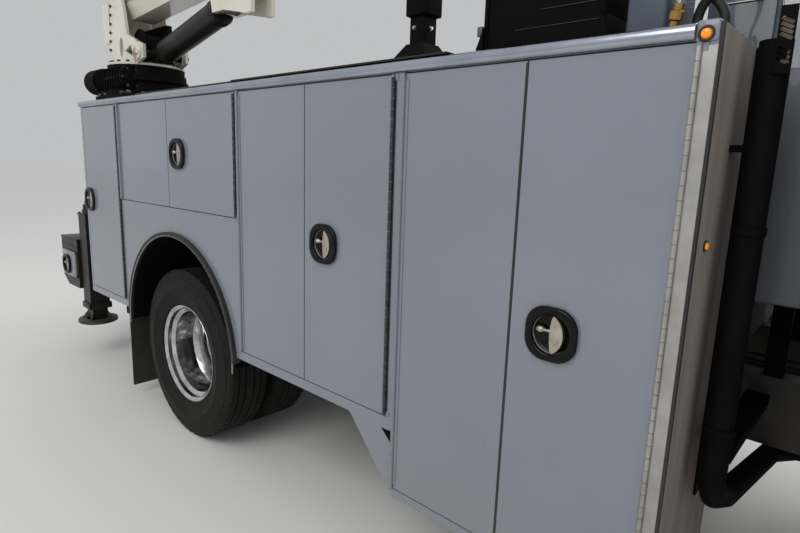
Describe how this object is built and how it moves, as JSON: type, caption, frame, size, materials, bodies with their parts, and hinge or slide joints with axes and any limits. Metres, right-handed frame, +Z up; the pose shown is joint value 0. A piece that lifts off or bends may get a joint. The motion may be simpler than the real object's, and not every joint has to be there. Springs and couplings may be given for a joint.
{
  "type": "service truck with telescopic crane",
  "caption": "Conventional-cab service truck with locker side packs, twin rear wheels, outriggers, work bench and a telescopic crane stowed along its right side.",
  "frame": {"origin": "on the ground, below the middle of the truck's bounding box", "axes": "+X forward to the cab, +Y to the truck's left, +Z up"},
  "size_m": [8.081, 2.68, 3.0538],
  "materials": {
    "white_paint": "gloss white enamel",
    "cream_paint": "gloss cream enamel",
    "slate_paint": "satin slate enamel",
    "black_paint": "textured black coating",
    "chassis_black": "satin black chassis paint",
    "aluminium": "polished aluminium",
    "chrome": "chromium plate",
    "tyre": "road tyre rubber",
    "rubber": "black moulded rubber",
    "glass": "clear safety glass",
    "fabric": "woven seat cloth",
    "dark_plastic": "grained dash plastic"
  },
  "bodies": {
    "truck": {"chassis_frame": "chassis_black", "powertrain": "chassis_black", "axles": "chassis_black", "side_tanks": "black_paint", "cab_shell": "white_paint", "cab_glass": "glass", "front_bumper": "chrome", "seats": "fabric", "dash": "dark_plastic", "exhaust_stack": "black_paint", "body_pack_right": "white_paint", "body_pack_left": "white_paint", "bed_floor": "black_paint", "arch_rubber": "rubber", "bench_bumper": "black_paint", "outrigger_beam": "black_paint", "boom_rest": "black_paint", "top_chest": "black_paint", "tall_cabinet": "slate_paint", "crane_base": "black_paint"},
    "rear_wheels_right": {"rear_tyres_right": "tyre", "rear_rims_right": "aluminium"},
    "rear_wheels_left": {"rear_tyres_left": "tyre", "rear_rims_left": "aluminium"},
    "knuckle_right": {"knuckle_right": "chassis_black"},
    "front_wheel_right": {"front_tyre_right": "tyre", "front_rim_right": "aluminium"},
    "knuckle_left": {"knuckle_left": "chassis_black"},
    "front_wheel_left": {"front_tyre_left": "tyre", "front_rim_left": "aluminium"},
    "door_rear_right": {"door_rear_right": "white_paint"},
    "door_over_wheel_rear_right": {"door_over_wheel_rear_right": "white_paint"},
    "door_over_wheel_front_right": {"door_over_wheel_front_right": "white_paint"},
    "door_middle_rear_right": {"door_middle_rear_right": "white_paint"},
    "door_middle_front_right": {"door_middle_front_right": "white_paint"},
    "door_front_rear_right": {"door_front_rear_right": "white_paint"},
    "door_front_front_right": {"door_front_front_right": "white_paint"},
    "door_rear_left": {"door_rear_left": "white_paint"},
    "door_over_wheel_rear_left": {"door_over_wheel_rear_left": "white_paint"},
    "door_over_wheel_front_left": {"door_over_wheel_front_left": "white_paint"},
    "door_middle_rear_left": {"door_middle_rear_left": "white_paint"},
    "door_middle_front_left": {"door_middle_front_left": "white_paint"},
    "door_front_rear_left": {"door_front_rear_left": "white_paint"},
    "door_front_front_left": {"door_front_front_left": "white_paint"},
    "tailgate": {"tailgate": "white_paint"},
    "bench_door": {"bench_door": "white_paint"},
    "cab_door_right": {"cab_door_right": "white_paint", "door_glass_right": "glass"},
    "cab_door_left": {"cab_door_left": "white_paint", "door_glass_left": "glass"},
    "hood": {"hood": "white_paint", "grille": "chrome"},
    "outrigger_leg_right": {"outrigger_leg_right": "black_paint"},
    "outrigger_leg_left": {"outrigger_leg_left": "black_paint"},
    "turret": {"turret": "cream_paint"},
    "main_boom": {"main_boom": "cream_paint"},
    "middle_boom": {"middle_boom": "cream_paint"},
    "tip_boom": {"tip_boom": "cream_paint"},
    "lift_barrel": {"lift_barrel": "black_paint"},
    "lift_rod": {"lift_rod": "chrome"}
  },
  "joints": [
    {"name": "rear_wheels_right_roll", "type": "hinge", "parent": "truck", "child": "rear_wheels_right", "pos_m": [-1.7095, -0.896, 0.52], "axis": [0, 1, 0], "continuous": true},
    {"name": "rear_wheels_left_roll", "type": "hinge", "parent": "truck", "child": "rear_wheels_left", "pos_m": [-1.7095, 0.896, 0.52], "axis": [0, 1, 0], "continuous": true},
    {"name": "steer_right", "type": "hinge", "parent": "truck", "child": "knuckle_right", "pos_m": [3.0165, -0.862, 0.52], "axis": [0, 0, 1], "range_deg": [-35, 35]},
    {"name": "front_wheel_right_roll", "type": "hinge", "parent": "knuckle_right", "child": "front_wheel_right", "pos_m": [3.0165, -1.04, 0.52], "axis": [0, 1, 0], "continuous": true},
    {"name": "steer_left", "type": "hinge", "parent": "truck", "child": "knuckle_left", "pos_m": [3.0165, 0.862, 0.52], "axis": [0, 0, 1], "range_deg": [-35, 35]},
    {"name": "front_wheel_left_roll", "type": "hinge", "parent": "knuckle_left", "child": "front_wheel_left", "pos_m": [3.0165, 1.04, 0.52], "axis": [0, 1, 0], "continuous": true},
    {"name": "door_rear_right_hinge", "type": "hinge", "parent": "truck", "child": "door_rear_right", "pos_m": [-2.437, -1.226, 1.3745], "axis": [0, 0, 1], "range_deg": [0, 90]},
    {"name": "door_over_wheel_rear_right_hinge", "type": "hinge", "parent": "truck", "child": "door_over_wheel_rear_right", "pos_m": [-2.407, -1.226, 1.717], "axis": [0, 0, -1], "range_deg": [0, 90]},
    {"name": "door_over_wheel_front_right_hinge", "type": "hinge", "parent": "truck", "child": "door_over_wheel_front_right", "pos_m": [-1.032, -1.226, 1.717], "axis": [0, 0, 1], "range_deg": [0, 90]},
    {"name": "door_middle_rear_right_hinge", "type": "hinge", "parent": "truck", "child": "door_middle_rear_right", "pos_m": [-1.003, -1.226, 1.3745], "axis": [0, 0, -1], "range_deg": [0, 90]},
    {"name": "door_middle_front_right_hinge", "type": "hinge", "parent": "truck", "child": "door_middle_front_right", "pos_m": [0.015, -1.226, 1.3745], "axis": [0, 0, 1], "range_deg": [0, 90]},
    {"name": "door_front_rear_right_hinge", "type": "hinge", "parent": "truck", "child": "door_front_rear_right", "pos_m": [0.064, -1.226, 1.2295], "axis": [0, 0, -1], "range_deg": [0, 90]},
    {"name": "door_front_front_right_hinge", "type": "hinge", "parent": "truck", "child": "door_front_front_right", "pos_m": [0.998, -1.226, 1.2295], "axis": [0, 0, 1], "range_deg": [0, 90]},
    {"name": "door_rear_left_hinge", "type": "hinge", "parent": "truck", "child": "door_rear_left", "pos_m": [-2.437, 1.226, 1.3745], "axis": [0, 0, -1], "range_deg": [0, 90]},
    {"name": "door_over_wheel_rear_left_hinge", "type": "hinge", "parent": "truck", "child": "door_over_wheel_rear_left", "pos_m": [-2.407, 1.226, 1.717], "axis": [0, 0, 1], "range_deg": [0, 90]},
    {"name": "door_over_wheel_front_left_hinge", "type": "hinge", "parent": "truck", "child": "door_over_wheel_front_left", "pos_m": [-1.032, 1.226, 1.717], "axis": [0, 0, -1], "range_deg": [0, 90]},
    {"name": "door_middle_rear_left_hinge", "type": "hinge", "parent": "truck", "child": "door_middle_rear_left", "pos_m": [-1.003, 1.226, 1.3745], "axis": [0, 0, 1], "range_deg": [0, 90]},
    {"name": "door_middle_front_left_hinge", "type": "hinge", "parent": "truck", "child": "door_middle_front_left", "pos_m": [0.015, 1.226, 1.3745], "axis": [0, 0, -1], "range_deg": [0, 90]},
    {"name": "door_front_rear_left_hinge", "type": "hinge", "parent": "truck", "child": "door_front_rear_left", "pos_m": [0.064, 1.226, 1.2295], "axis": [0, 0, 1], "range_deg": [0, 90]},
    {"name": "door_front_front_left_hinge", "type": "hinge", "parent": "truck", "child": "door_front_front_left", "pos_m": [0.998, 1.226, 1.2295], "axis": [0, 0, -1], "range_deg": [0, 90]},
    {"name": "tailgate_hinge", "type": "hinge", "parent": "truck", "child": "tailgate", "pos_m": [-3.0695, 0, 1.158], "axis": [0, -1, 0], "range_deg": [0, 90]},
    {"name": "bench_door_hinge", "type": "hinge", "parent": "truck", "child": "bench_door", "pos_m": [-3.698, -1.126, 0.78], "axis": [0, 0, 1], "range_deg": [0, 90]},
    {"name": "cab_door_right_hinge", "type": "hinge", "parent": "truck", "child": "cab_door_right", "pos_m": [2.5765, -1.064, 1.5], "axis": [0, 0, 1], "range_deg": [0, 65]},
    {"name": "cab_door_left_hinge", "type": "hinge", "parent": "truck", "child": "cab_door_left", "pos_m": [2.5765, 1.064, 1.5], "axis": [0, 0, -1], "range_deg": [0, 65]},
    {"name": "hood_tilt", "type": "hinge", "parent": "truck", "child": "hood", "pos_m": [3.9005, 0, 0.86], "axis": [0, 1, 0], "range_deg": [0, 60]},
    {"name": "outrigger_leg_right_drop", "type": "slide", "parent": "truck", "child": "outrigger_leg_right", "axis": [0, 0, -1], "range_m": [0, 0.295]},
    {"name": "outrigger_leg_left_drop", "type": "slide", "parent": "truck", "child": "outrigger_leg_left", "axis": [0, 0, -1], "range_m": [0, 0.295]},
    {"name": "turret_slew", "type": "hinge", "parent": "truck", "child": "turret", "pos_m": [-2.5595, -0.95, 2.29], "axis": [0, 0, 1], "range_deg": [-180, 180]},
    {"name": "boom_lift", "type": "hinge", "parent": "turret", "child": "main_boom", "pos_m": [-2.6695, -0.95, 2.76], "axis": [0, -1, 0], "range_deg": [0, 70]},
    {"name": "middle_boom_slide", "type": "slide", "parent": "main_boom", "child": "middle_boom", "axis": [0.9976, 0, 0.0698], "range_m": [0, 1.5]},
    {"name": "tip_boom_slide", "type": "slide", "parent": "middle_boom", "child": "tip_boom", "axis": [0.9976, 0, 0.0698], "range_m": [0, 1.5]},
    {"name": "lift_barrel_pivot", "type": "hinge", "parent": "turret", "child": "lift_barrel", "pos_m": [-2.3395, -0.95, 2.345], "axis": [0, -1, 0], "range_deg": [0, 67]},
    {"name": "lift_rod_slide", "type": "slide", "parent": "lift_barrel", "child": "lift_rod", "axis": [0.9766, 0, 0.2151], "range_m": [0, 0.62]}
  ],
  "couplings": [
    {"joint": "steer_left", "follows": "steer_right", "ratio": 1},
    {"joint": "lift_barrel_pivot", "follows": "boom_lift", "ratio": 0.947},
    {"joint": "lift_rod_slide", "follows": "boom_lift", "m_per_rad": 0.494}
  ]
}
